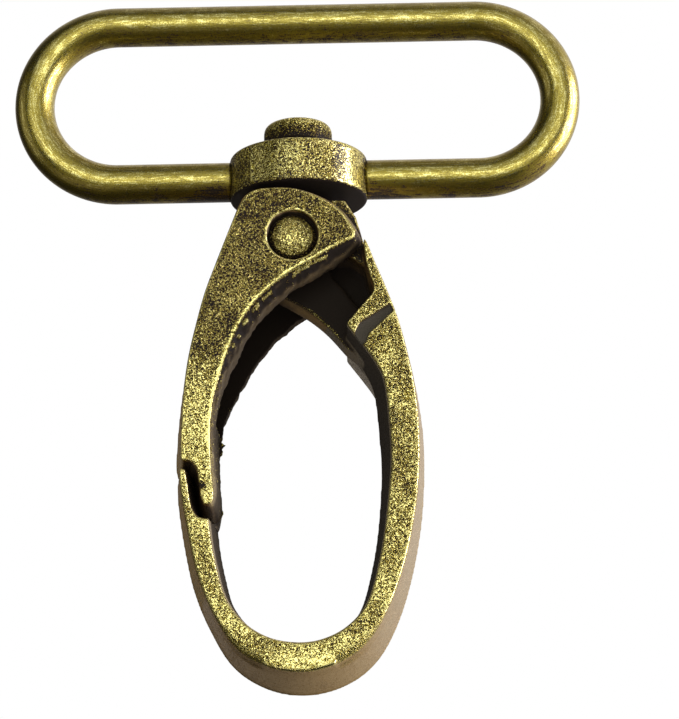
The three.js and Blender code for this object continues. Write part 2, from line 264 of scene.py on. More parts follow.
def rounded(corners, radius, steps=5):
    """A profile whose inner corners are arcs; the first and last points stay."""
    corners = [np.array(c, float) for c in corners]
    points = [corners[0]]
    for before, corner, after in zip(corners, corners[1:], corners[2:]):
        back = (before - corner) / np.linalg.norm(before - corner)
        on = (after - corner) / np.linalg.norm(after - corner)
        for k in range(steps + 1):
            t = k / steps
            start, end = corner + back * radius, corner + on * radius
            points.append((1 - t) ** 2 * start + 2 * t * (1 - t) * corner + t**2 * end)
    return [tuple(p) for p in [*points, corners[-1]]]


# ---- Strap ring ----

def ring_line(distance):
    """The point and direction of the wire's centreline at a distance from the collar, on its right half."""
    bend = BAR_SPACING / 2
    bar_end = RING_WIDTH / 2 - bend
    if distance < bar_end:
        return (distance, -BAR_SPACING), (1, 0)
    angle = (distance - bar_end) / bend
    if angle > math.pi:
        return (bar_end - (distance - bar_end - math.pi * bend), 0), (-1, 0)
    place = (bar_end + bend * math.sin(angle), -bend - bend * math.cos(angle))
    return place, (math.cos(angle), math.sin(angle))


def ring():
    """The wire from one tenon to the other. "run" keeps each point's place along and around it."""
    sides, step, first_step = 72, 0.16, 0.15
    bend = BAR_SPACING / 2
    half = 2 * (RING_WIDTH / 2 - bend) + math.pi * bend
    angles = np.arange(sides) * 2 * math.pi / sides
    seat = COLLAR_RADIUS - OVERLAP

    def section(distance, radius):
        (x, z), (dx, dz) = ring_line(distance)
        wide = np.cos(angles) * radius
        return np.column_stack([x - dz * wide, np.sin(angles) * radius, z + dx * wide])

    def seated(loop, reach):
        loop = loop.copy()
        loop[:, 0] = np.sqrt(reach**2 - loop[:, 1] ** 2)
        return loop

    right = [section(COLLAR_RADIUS - TENON_LENGTH, TENON_RADIUS)]
    right.append(seated(section(seat, TENON_RADIUS), seat))
    right.append(seated(section(seat, WIRE_RADIUS), seat))
    start = seat + first_step
    steps = int((half - start) / step)
    distances = start + (half - start) * np.arange(steps + 1) / steps
    right.extend(section(d, WIRE_RADIUS) for d in distances)
    runs = [start] * 3 + list(distances)
    left = [loop * np.array([-1, 1, 1]) for loop in right[-2::-1]]
    runs += [2 * half - r for r in runs[-2::-1]]
    obj = skin("ring_wire", right + left)
    around = np.column_stack([np.cos(angles), np.sin(angles)]) * WIRE_RADIUS
    run = np.array([(r, *a) for r in runs for a in around])
    store_vector(obj, "run", run)
    return obj


# ---- Swivel: collar and pin ----

def collar_seam(degrees):
    """A thin upright rib on the collar's outside."""
    low, high = COLLAR_BOTTOM + COLLAR_CORNER, COLLAR_TOP - COLLAR_CORNER
    rib = turned("tool", [(0, low), (SEAM_RADIUS, low), (SEAM_RADIUS, high), (0, high)], 12)
    angle = math.radians(degrees)
    reach = COLLAR_RADIUS - OVERLAP
    rib.data.transform(Matrix.Translation((reach * math.cos(angle), reach * math.sin(angle), 0)))
    return rib


def tenon_hole(side):
    """The blind hole for the wire's end, at the collar's right (1) or left (-1)."""
    radius, length = TENON_RADIUS + SEAT_GAP, 5
    hole = turned("tool", [(0, 0), (radius, 0), (radius, length), (0, length)], 48)
    hole.data.transform(Matrix.Rotation(side * math.pi / 2, 4, "Y"))
    depth = COLLAR_RADIUS - TENON_LENGTH - SEAT_GAP
    hole.data.transform(Matrix.Translation((side * depth, 0, -BAR_SPACING)))
    return hole


def swivel_collar():
    corners = [(0, COLLAR_BOTTOM), (COLLAR_RADIUS, COLLAR_BOTTOM), (COLLAR_RADIUS, COLLAR_TOP),
               (0, COLLAR_TOP)]
    barrel = turned("collar_casting", rounded(corners, COLLAR_CORNER), 160)
    bore = upright_rod(COLLAR_BORE, COLLAR_BOTTOM - OVERSHOOT, COLLAR_TOP + OVERSHOOT)
    steps = [("UNION", collar_seam(degrees)) for degrees in SEAM_ANGLES]
    steps += [("DIFFERENCE", cut) for cut in (bore, tenon_hole(1), tenon_hole(-1))]
    return cast(joined(barrel, *steps), COLLAR_VOXEL, rounds=2)


def swivel_pin():
    lip = HEAD_UNDERSIDE + HEAD_LIP
    shank = rounded([(0, PIN_FOOT), (PIN_RADIUS, PIN_FOOT), (PIN_RADIUS, HEAD_UNDERSIDE),
                     (HEAD_RADIUS, HEAD_UNDERSIDE), (HEAD_RADIUS, lip)], PIN_CORNER)
    head = rounded([(HEAD_RADIUS, lip), (HEAD_RADIUS, HEAD_TOP), (0, HEAD_TOP)], HEAD_CORNER, 8)
    return turned("pin_turning", fine(shank + head[1:], 0.15), 128)


def fine(profile, step):
    """The profile with extra points, so that no stretch is longer than the step."""
    points = [profile[0]]
    for a, b in zip(profile, profile[1:]):
        count = max(1, math.ceil(math.dist(a, b) / step))
        for k in range(1, count + 1):
            t = k / count
            points.append((a[0] + (b[0] - a[0]) * t, a[1] + (b[1] - a[1]) * t))
    return points


# ---- Hook casting ----

# Rows of x and z on the front face, and how far the mid-plane ridge stands outside them.
ARM_STRETCHES = [
    ([[-9.05, -37.3, 0.42], [-8.95, -39.2, 0.42], [-8.46, -42.2, 0.48], [-7.75, -45.4, 0.5],
      [-6.6, -48.3, 0.5], [-4.9, -50.9, 0.6], [-2.5, -52.25, 0.8], [0.1, -52.6, 0.88],
      [2.6, -51.95, 0.9], [4.6, -50.5, 0.85], [6.15, -48.0, 0.75], [7.4, -44.7, 0.6],
      [8.25, -41, 0.5], [8.66, -37.6, 0.42], [8.73, -34.4, 0.4], [8.5, -31.4, 0.35],
      [8.06, -28.95, 0.35], [7.38, -26.15, 0.37], [6.55, -23.7, 0.33], [5.7, -21.5, 0.28],
      [5.4, -20.65, 0.2], [5.17, -20.05, 0.12], [4.99, -19.7, 0.05]], 270),
    ([[4.99, -19.7, 0.05], [4.9, -19.85, 0.05], [4.94, -20.6, 0.05], [5, -21.3, 0.05],
      [5.28, -22.5, 0.05], [5.6, -23.5, 0.05], [5.45, -24.05, 0.05]], 36),
    ([[5.45, -24.05, 0.05], [3.62, -26.15, 0.05]], 14),
    ([[3.62, -26.15, 0.05], [3.5, -26.45, 0.1], [3.8, -26.9, 0.1], [4.5, -27.85, 0.15]], 14),
    ([[4.5, -27.85, 0.15], [5.55, -29.4, 0.35], [6.2, -30.95, 0.58], [6.48, -33.9, 0.62],
      [6.56, -37, 0.6], [6.1, -41.3, 0.5], [5.5, -44.6, 0.5], [4.6, -47.5, 0.5],
      [3.2, -49.2, 0.55], [1.4, -50.15, 0.55], [-0.5, -50.4, 0.55], [-2.6, -50, 0.55],
      [-4.4, -48.85, 0.5], [-5.7, -47, 0.4], [-6.35, -44.7, 0.4], [-6.75, -42.5, 0.4],
      [-6.95, -40.5, 0.4], [-7.2, -38.6, 0.4], [-7.6, -37.4, 0.3]], 200),
    ([[-7.6, -37.4, 0.3], [-9.05, -37.3, 0.42]], 8),
]

WEB_STRETCHES = [
    ([[-1.6, -22.9, 0.1], [0.28, -23.9, 0.3], [1.26, -24.69, 0.22], [2.26, -25.68, 0.15],
      [3.5, -27.2, 0.1]], 40),
    ([[3.5, -27.2, 0], [5.2, -28.3, 0], [6.6, -26.5, 0], [5.9, -23, 0], [5.3, -20.9, 0]], 12),
    ([[5.3, -20.9, 0], [4.75, -19.15, 0], [4.3, -17.5, 0], [3.5, -16.1, 0]], 20),
    ([[3.5, -16.1, 0], [-2.4, -16.1, 0]], 2),
    ([[-2.4, -16.1, 0], [-3.1, -17.6, 0], [-3.55, -19.3, 0], [-3.1, -21.2, 0], [-1.6, -22.9, 0.1]], 24),
]


def outline(stretches):
    return counter_clockwise(np.concatenate([through(rows, steps) for rows, steps in stretches]))


def arm():
    """The arm, bow and nose: faces that roll over into walls drafted both ways from a mid-plane seam."""
    rows = outline(ARM_STRETCHES)
    x, height, draft = rows[:, 0], -rows[:, 1], rows[:, 2]
    outside = np.hypot(x + 0.4, (height - 37) * 0.5) > 8
    roll = np.where(outside, np.interp(height, BOW_HEIGHTS, (ROLL, BOW_ROLL)), ROLL)
    sharper_ledge = np.interp(height, (25, 29), (0.2, 1))
    sharper_nose = np.where(x < 0, np.interp(height, (37.8, 41), (0.2, 1)), 1)
    roll *= sharper_ledge * sharper_nose
    levels = []
    for turn in (0, 20, 40, 60, 75, 90):
        angle = math.radians(turn)
        levels.append((-FACE + roll * (1 - math.cos(angle)), swollen(rows, -roll * (1 - math.sin(angle)))))
    for y in (-3.9, -2.6, -1.3, -FLASH_WIDTH):
        levels.append((y, swollen(rows, draft * (1 + y / FACE))))
    levels.append((0, swollen(rows, draft + FLASH)))
    levels += [(-y, loop) for y, loop in reversed(levels[:-1])]
    return loft("hook_casting", levels)


def core():
    """What stands between the gate's cheeks: web, block under the collar, column and bosses."""
    rows = outline(WEB_STRETCHES)
    shares = ((-WEB, 0), (-0.75, 0.75), (0, 1), (0.75, 0.75), (WEB, 0))
    web = loft("tool", [(y, swollen(rows, rows[:, 2] * share)) for y, share in shares])
    block = plate([[-2.55, -15.85], [3.55, -15.85], [4.4, -17.3], [4.6, -18.2], [3.2, -17.25],
                   [-2.9, -17.25]], -CORE, CORE)
    column = plate([[3.2, -17.2], [4.38, -17.2], [4.88, -19.15], [5.4, -20.7], [5.6, -21.6],
                    [5, -21.3], [3.2, -19.9]], -CORE, CORE)
    boss = upright_rod(BOSS_RADIUS, -17, BOSS_TOP)
    pivot_boss = pivot_rod(PIVOT_BOSS_RADIUS, 0, CORE)
    return [web, block, column, boss, pivot_boss]


def nose_step():
    face = [[-8.66, -36], [-8.62, -37.5], [-8.46, -38.5], [-8.34, -39.45], [-8.18, -40.3], [-7.8, -40.95],
            [-7.2, -41.1], [-5, -41.1], [-5, -36]]
    middle = [[-8.44, -36], [-8.18, -37.3], [-7.92, -38.4], [-7.79, -39.4], [-7.66, -40.2], [-7.42, -40.65],
              [-7.1, -40.8], [-5, -40.8], [-5, -36]]
    return drafted_cutter(face, middle)


GROOVE = [[4.5, -26.35], [6.75, -24.93], [7.02, -25.42], [5.12, -27.2], [4.88, -27.95], [4.25, -27.95],
          [4.1, -27.1]]


def groove():
    return plate(GROOVE, -FACE - OVERSHOOT, -FACE + GROOVE_DEPTH)


def pocket(y0, y1):
    corners = [[2.2, -20.4], [4.94, -20.4], [5, -21.3], [5.28, -22.5], [5.6, -23.5], [5.45, -24.05],
               [4.95, -24.25], [4.3, -23.9], [3.3, -22.5], [2.5, -21.6]]
    return plate(corners, y0, y1)


def hook_body():
    web, *others = core()
    pockets = [pocket(-CORE, -POCKET_FLOOR), pocket(POCKET_FLOOR, CORE)]
    pin_hole = upright_rod(PIN_RADIUS + SEAT_GAP, PIN_FOOT - SEAT_GAP, BOSS_TOP + OVERSHOOT)
    rivet_hole = pivot_rod(RIVET_RADIUS + SEAT_GAP, -FACE, FACE)
    steps = [("UNION", web)]
    steps += [("DIFFERENCE", cut) for cut in pockets]
    steps += [("UNION", other) for other in others]
    steps += [("DIFFERENCE", cut) for cut in (nose_step(), groove(), pin_hole, rivet_hole)]
    return cast(joined(arm(), *steps), VOXEL, rounds=7)


# ---- Gate casting ----

# Rows of x and z on the front face, the width of the worn bevel, and the draft below it.
GATE_STRETCHES = [
    ([[-3.95, -16.15, 0.3, 0], [-4.5, -17.05, 0.2, 0.15], [-5.2, -18.7, 0.12, 0.3],
      [-6.17, -21.2, 0.1, 0.35], [-7.09, -23.7, 0.1, 0.35], [-7.77, -26.2, 0.1, 0.35],
      [-8.3, -28.5, 0.1, 0.35], [-8.62, -30.6, 0.1, 0.37], [-8.82, -32.6, 0.1, 0.4],
      [-8.92, -34.5, 0.1, 0.45], [-8.95, -36.4, 0.1, 0.45], [-8.5, -38.5, 0.1, 0.3],
      [-8.1, -40.05, 0.1, 0.25]], 150),
    ([[-8.1, -40.05, 0.1, 0.25], [-7.0, -40.05, 0.1, 0.25], [-6.7, -39.95, 0.1, 0.25],
      [-6.58, -39.6, 0.1, 0.25]], 14),
    ([[-6.58, -39.6, 0.1, 0.25], [-6.6, -38.8, 0.25, 0.15], [-6.76, -37.4, 0.3, 0.15],
      [-6.83, -34.6, 0.3, 0.15], [-6.72, -33.2, 0.35, 0.1], [-6.5, -31.8, 0.4, 0.1],
      [-5.95, -29.8, 0.6, 0.05], [-5.3, -27.85, 0.85, 0], [-4.5, -26.1, 0.95, 0],
      [-3.4, -24.5, 1.05, 0], [-2.2, -23.3, 1.1, 0], [-0.7, -22.15, 1.1, 0],
      [1, -21.2, 1.1, 0], [2.5, -20.35, 1, 0], [3.5, -19.9, 0.75, 0], [4.05, -19.72, 0.5, 0]], 160),
    ([[4.05, -19.72, 0.5, 0], [4.22, -19.4, 0.45, 0], [4.02, -18.78, 0.42, 0], [3.08, -17.42, 0.35, 0],
      [1.6, -16.35, 0.33, 0], [-0.27, -15.66, 0.3, 0], [-2, -15.54, 0.28, 0], [-3.25, -15.7, 0.28, 0],
      [-3.95, -16.15, 0.3, 0]], 80),
]

# Flash left on the gate's inner wall: its z, height and width.
BURRS = [(-34.3, 0.5, 0.28), (-34.9, 0.3, 0.3), (-39.6, 0.15, 0.3)]


def gate_blank():
    """The gate before its cuts: flat faces, a bevel that rolls over to the shoulder, then the draft."""
    rows = outline(GATE_STRETCHES)
    x, z, bevel, draft = rows.T
    fuller = BACK_FULLNESS * np.interp(z, (-31, -26, -21.2, -20), (0, 1, 1, 0)) * (x > -6.6)
    burrs = sum(tall * np.exp(-(((z - place) / wide) ** 2)) for place, tall, wide in BURRS) * (x > -7.3)
    bevel_shares = (0.3, 0.6, 1)
    levels = [(-FACE, rows[:, :2])]
    for share in bevel_shares:
        y = -FACE + (FACE - SHOULDER) * share
        levels.append((y, swollen(rows, bevel * math.sin(share * math.pi / 2))))
    for y in (-2.7, -1.3, -FLASH_WIDTH):
        levels.append((y, swollen(rows, bevel + draft * (1 + y / SHOULDER))))
    levels.append((0, swollen(rows, bevel + draft + FLASH + burrs)))
    for y in (FLASH_WIDTH, 1.3, 2.7):
        levels.append((y, swollen(rows, bevel + draft * (1 - y / SHOULDER) + fuller * y / SHOULDER)))
    for share in reversed(bevel_shares):
        y = FACE - (FACE - SHOULDER) * share
        levels.append((y, swollen(rows, (bevel + fuller) * math.sin(share * math.pi / 2))))
    levels.append((FACE, rows[:, :2]))
    return loft("gate_casting", levels)


CHANNEL_OUTLINE = [[-2.2, -14], [-3.1, -16.8], [-3.95, -19], [-4.85, -21.4], [-5.7, -23.8],
                   [-6.35, -26.3], [-6.85, -28.6], [-7.12, -30.6], [-7.15, -32.2], [-6.85, -33.3],
                   [-5.8, -33.8], [-4, -33.6], [7, -28], [7, -14]]


def channel():
    return plate(CHANNEL_OUTLINE, -CHANNEL, CHANNEL)


def tongue_step():
    face = [[-11, -36.7], [-8.35, -36.73], [-8.05, -36.9], [-7.78, -37.3], [-7.62, -38.2], [-7.5, -39.4],
            [-7.25, -40.1], [-7.2, -42], [-11, -42]]
    middle = [[-11, -36.95], [-8.5, -36.95], [-8.33, -37.2], [-8.17, -37.8], [-8.05, -38.4],
              [-7.88, -39.4], [-7.74, -40.1], [-7.7, -42], [-11, -42]]
    return drafted_cutter(face, middle)


def roughen(obj, where, height, size):
    """Pushes the chosen points in and out by a lumpy noise of the given height and size."""
    points, normals, _ = mesh_arrays(obj)
    amounts = np.zeros(len(points))
    for i in np.flatnonzero(where(points, normals)):
        place = Vector(points[i]) / size
        amounts[i] = noise.noise(place) + 0.6 * noise.noise(place * 2.7)
    points += normals * (amounts * height)[:, None]
    obj.data.vertices.foreach_set("co", points.astype(np.float32).ravel())
    obj.data.update()
    return obj


def lean_inwards(normals):
    """How far each point of the gate faces down and to the right, into the hook's opening."""
    return normals[:, 0] - 0.8 * normals[:, 2]


def rough_underside(points, normals):
    """The worn bevel and the wall behind it, where the casting was left unfinished."""
    x, y, z = points.T
    between_faces = np.abs(y) < FACE - 0.25
    return (lean_inwards(normals) > 0.45) & (z > -38) & (x > -7.2) & between_faces


def gate():
    reach = FACE + OVERSHOOT
    rivet_hole = pivot_rod(RIVET_RADIUS + SEAT_GAP, -reach, reach)
    front_recess = pivot_rod(RECESS_RADIUS, -reach, -RECESS_FLOOR)
    back_recess = pivot_rod(RECESS_RADIUS, RECESS_FLOOR, reach)
    cuts = [channel(), tongue_step(), rivet_hole, front_recess, back_recess]
    body = cast(joined(gate_blank(), *[("DIFFERENCE", cut) for cut in cuts]), VOXEL, rounds=4)
    return roughen(body, rough_underside, height=0.1, size=0.8)


# ---- Rivet and spring ----

def pivot_rivet():
    seat = RECESS_FLOOR + SEAT_GAP
    dome = [(0, -5.15), (0.4, -5.14), (0.8, -5.09), (1.2, -4.99), (1.5, -4.85), (1.68, -4.68),
            (1.77, -4.48), (1.77, -seat)]
    shank = [(RIVET_RADIUS, -seat), (RIVET_RADIUS, seat)]
    back_head = [(1.55, seat), (1.5, 4.62), (1.15, 4.85), (0.6, 4.93), (0, 4.95)]
    return turned("rivet_turning", fine(dome + shank + back_head, 0.12), 96, "Y", PIVOT)


def wire_through(name, points, radius):
    """A round wire along straight stretches between the points, as a mesh with closed ends."""
    curve = bpy.data.curves.new(name, "CURVE")
    curve.dimensions = "3D"
    curve.bevel_depth = radius
    curve.bevel_resolution = 4
    curve.use_fill_caps = True
    spline = curve.splines.new("POLY")
    spline.points.add(len(points) - 1)
    for point, place in zip(spline.points, points):
        point.co = (*place, 1)
    path = bpy.data.objects.new("path", curve)
    bpy.context.scene.collection.objects.link(path)
    graph = bpy.context.evaluated_depsgraph_get()
    mesh = bpy.data.meshes.new_from_object(path.evaluated_get(graph), depsgraph=graph)
    bpy.data.objects.remove(path)
    obj = bpy.data.objects.new(name, mesh)
    bpy.context.scene.collection.objects.link(obj)
    return obj


def gate_spring():
    """A torsion spring: one leg on the hook, two turns and a bit round the pivot, one leg on the gate."""
    first, last = 90, 143 + 720

    def turn(degrees):
        angle = math.radians(degrees)
        across, up = COIL_RADIUS * math.cos(angle), COIL_RADIUS * math.sin(angle)
        depth = COIL_BACK - COIL_PITCH * (degrees - first) / 360
        return Vector((PIVOT[0] + across, depth, PIVOT[1] + up))

    points = [Vector((2.85, COIL_BACK, -17.62)), Vector((1.2, COIL_BACK, -17.7))]
    points += [turn(degrees) for degrees in range(first, last + 1, 15)]
    points += [turn(last) + Vector((-0.6, 0, -0.8)) * length for length in (1.2, 2.5, 4, 5.3)]
    return wire_through("spring_wire", points, SPRING_WIRE_RADIUS)


# ---- What each vertex keeps for the material ----

def store_value(obj, name, values):
    layer = obj.data.attributes.new(name, "FLOAT", "POINT")
    layer.data.foreach_set("value", np.asarray(values, np.float32))


def store_vector(obj, name, values):
    layer = obj.data.attributes.new(name, "FLOAT_VECTOR", "POINT")
    layer.data.foreach_set("vector", np.asarray(values, np.float32).ravel())


def mesh_arrays(obj):
    mesh = obj.data
    points = np.empty(len(mesh.vertices) * 3, np.float32)
    normals = np.empty(len(mesh.vertices) * 3, np.float32)
    edges = np.empty(len(mesh.edges) * 2, np.int32)
    mesh.vertices.foreach_get("co", points)
    mesh.vertices.foreach_get("normal", normals)
    mesh.edges.foreach_get("vertices", edges)
    return points.reshape(-1, 3).astype(float), normals.reshape(-1, 3).astype(float), edges.reshape(-1, 2)


def spread(values, edges, rounds):
    """Values averaged with their neighbours' along the mesh, so many times over."""
    count = len(values)
    ends = np.concatenate([edges[:, 0], edges[:, 1]])
    others = np.concatenate([edges[:, 1], edges[:, 0]])
    degree = np.maximum(np.bincount(ends, minlength=count), 1)
    values = values.reshape(count, -1).copy()
    for _ in range(rounds):
        for column in range(values.shape[1]):
            mean = np.bincount(ends, values[others, column], minlength=count) / degree
            values[:, column] = 0.5 * values[:, column] + 0.5 * mean
    return values


def frame_tree():
    """One tree of every CAD node, in millimetres."""
    points, faces = [], []
    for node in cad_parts.values():
        first = len(points)
        points += [v.co / MM for v in node.data.vertices]
        faces += [tuple(first + i for i in polygon.vertices) for polygon in node.data.polygons]
    return BVHTree.FromPolygons(points, faces)


def fan(count):
    """Directions spread evenly over the half-sphere about +Z, closer together near its top."""
    k = (np.arange(count) + 0.5) / count
    turn = np.arange(count) * math.pi * (3 - math.sqrt(5))
    flat = np.sqrt(k) * 0.97  # the lowest just above level
    return np.column_stack([flat * np.cos(turn), flat * np.sin(turn), np.sqrt(1 - flat**2)])


def openness(points, normals, edges, tree, reach=7.0, cell=0.4, lift=0.4, ray_count=20):
    """How much of what a point faces is open, 0 to 1: what a polishing wheel could reach.

    Rays as long as the reach are cast once for each small cell of space that holds points, and
    start the lift's height above the surface.
    """
    cells = np.floor(points / cell).astype(np.int64)
    stride = 4096  # more cells than the object spans
    key = (cells[:, 0] * stride + cells[:, 1]) * stride + cells[:, 2]
    _, first, group = np.unique(key, return_index=True, return_inverse=True)
    n = normals[first]
    helper = np.where(np.abs(n[:, 2:3]) < 0.9, [[0.0, 0.0, 1.0]], [[1.0, 0.0, 0.0]])
    side = np.cross(n, helper)
    side /= np.linalg.norm(side, axis=1)[:, None]
    other = np.cross(n, side)
    rays = fan(ray_count)
    clear = np.zeros(len(first))
    starts = points[first] + n * lift
    for ray in rays:
        directions = side * ray[0] + other * ray[1] + n * ray[2]
        for i, (start, direction) in enumerate(zip(starts.tolist(), directions.tolist())):
            if tree.ray_cast(start, direction, reach)[0] is None:
                clear[i] += 1
    return spread((clear / len(rays))[group.ravel()], edges, 6)[:, 0]


def mark(obj, tree, graded=None):
    """Stores what the brass is shaded by at each vertex, then turns millimetres to metres.

    The attributes are: edge, open, polish (rubbed more, with painted highlight and painted shade),
    gloom (left dark: patina in hollows, and painted shade), wall (plain side wall), side (mostly how far
    a wall faces sideways; such walls get a painted pale sheen), grey (bare cast floor).
    """
    points, normals, edges = mesh_arrays(obj)
    drawn_wire = "run" in obj.data.attributes
    bulge = points - spread(points, edges, 7)
    edge = np.zeros(len(points)) if drawn_wire else np.sum(bulge * normals, axis=1)
    least_open = 0.75 if drawn_wire else 0
    store_value(obj, "edge", edge)
    store_value(obj, "open", np.maximum(openness(points, normals, edges, tree), least_open))
    marks = {"polish_and_painted_light": 0, "painted_shade_and_patina": 0, "wall": 0, "grey": 0, "side": np.abs(normals[:, 0])}
    if graded:
        marks.update(graded(points, normals))
    for name, values in marks.items():
        values = np.broadcast_to(values, len(points)).astype(float)
        store_value(obj, name, spread(values, edges, 3)[:, 0])
    finish_mesh(obj)


def finish_mesh(obj):
    """Millimetres to metres, shaded smooth."""
    obj.data.transform(Matrix.Scale(MM, 4))
    for polygon in obj.data.polygons:
        polygon.use_smooth = True


# ---- Materials ----

BRASS = (0.40, 0.32, 0.04)
# Painted glints: pale brass standing in for highlights on the highest grains and sharp edges.
PAINTED_GLINT_PALE = (0.97, 0.88, 0.34)
BRASS_BROWN = (0.15, 0.088, 0.034)
PATINA = (0.013, 0.009, 0.006)
SCALE_GREY = (0.066, 0.058, 0.045)  # bare cast floor of the groove
WALL_DARK = (0.11, 0.075, 0.045)
WALL_BROWN = (0.6, 0.38, 0.13)
# Painted sheen: pale grey standing in for the side lamp's reflection on walls that face sideways.
WALL_SHEEN_GREY = (0.46, 0.38, 0.25)
STEEL_BLACK = (0.02, 0.018, 0.017)
STEEL_WORN = (0.12, 0.1, 0.085)

WORM_FOLDS = 16.0  # how often the crinkle folds over, in radians
WORM_SHARE, SPECK_SHARE = 0.55, 0.45
SPECK_FINENESS = 2.7  # the specks' scale and the blotches', against the grain's
BLOTCH_FINENESS = 0.18
RUN_STRETCH = (0.45, 3.2, 3.2)  # streaks run along the wire and are narrow round it


class Nodes:
    """A material's nodes, added one line each."""

    def __init__(self, name):
        self.material = bpy.data.materials.new(name)
        self.material.use_nodes = True
        self.tree = self.material.node_tree
        self.shader = self.tree.nodes["Principled BSDF"]
        self.place = self.add("ShaderNodeTexCoord").outputs["Object"]

    def feed(self, socket, value):
        """Links the value to the socket if it comes from a node, and sets it there if not."""
        if isinstance(value, bpy.types.NodeSocket):
            self.tree.links.new(value, socket)
        else:
            socket.default_value = value

    def shade(self, name, value):
        self.feed(self.shader.inputs[name], value)

    def add(self, kind, **inputs):
        node = self.tree.nodes.new(kind)
        for name, value in inputs.items():
            self.feed(node.inputs[name.replace("_", " ")], value)
        return node

    def attribute(self, name, output="Fac"):
        node = self.add("ShaderNodeAttribute")
        node.attribute_name = name
        return node.outputs[output]

    def noise(self, place, scale, detail=2.0, roughness=0.5, distortion=0.0):
        node = self.add("ShaderNodeTexNoise", Vector=place, Scale=scale, Detail=detail,
                        Roughness=roughness, Distortion=distortion)
        return node.outputs["Fac"]

    def math(self, operation, *values):
        node = self.add("ShaderNodeMath")
        node.operation = operation
        for socket, value in zip(node.inputs, values):
            self.feed(socket, value)
        return node.outputs[0]

    def scale_add(self, a, share, b):
        """a * share + b, in one node."""
        return self.math("MULTIPLY_ADD", a, share, b)

    def between(self, value, low, high, to_low=0.0, to_high=1.0):
        """The value's share of the way from low to high, eased, and no further."""
        node = self.add("ShaderNodeMapRange", Value=value, From_Min=low, From_Max=high,
                        To_Min=to_low, To_Max=to_high)
        node.interpolation_type = "SMOOTHSTEP"
        return node.outputs["Result"]

    def mix(self, factor, a, b):
        node = self.tree.nodes.new("ShaderNodeMix")
        node.data_type = "RGBA"
        self.feed(node.inputs["Factor"], factor)
        colour_inputs = [socket for socket in node.inputs if socket.type == "RGBA"]
        for socket, value in zip(colour_inputs, (a, b)):
            self.feed(socket, (*value, 1) if isinstance(value, tuple) else value)
        return [socket for socket in node.outputs if socket.type == "RGBA"][0]

    def bump(self, height, distance):
        node = self.add("ShaderNodeBump", Height=height, Distance=distance, Strength=1.0)
        self.shade("Normal", node.outputs["Normal"])


def brass_grains(n, size, contrast, streaks):
    """The plating's pattern, 0 to 1: crinkled worms with fine specks between, or streaks along a wire."""
    crinkle = n.noise(n.place, size, 1.5, 0.55, 0.8)
    worms = n.math("ABSOLUTE", n.math("SINE", n.math("MULTIPLY", crinkle, WORM_FOLDS)))
    specks = n.between(n.noise(n.place, size * SPECK_FINENESS, 1.5, 0.6, 0.5), 0.28, 0.72)
    grains = n.scale_add(worms, WORM_SHARE, n.math("MULTIPLY", specks, SPECK_SHARE))
    if streaks:
        along = n.add("ShaderNodeMapping", Vector=n.attribute("run", "Vector"), Scale=RUN_STRETCH)
        drawn = n.between(n.noise(along.outputs["Vector"], 2.6, 3.0, 0.6, 0.2), 0.25, 0.75)
        grains = n.scale_add(grains, 0.5, n.math("MULTIPLY", drawn, 0.5))
    return n.scale_add(grains, contrast, 0.5 - 0.5 * contrast)


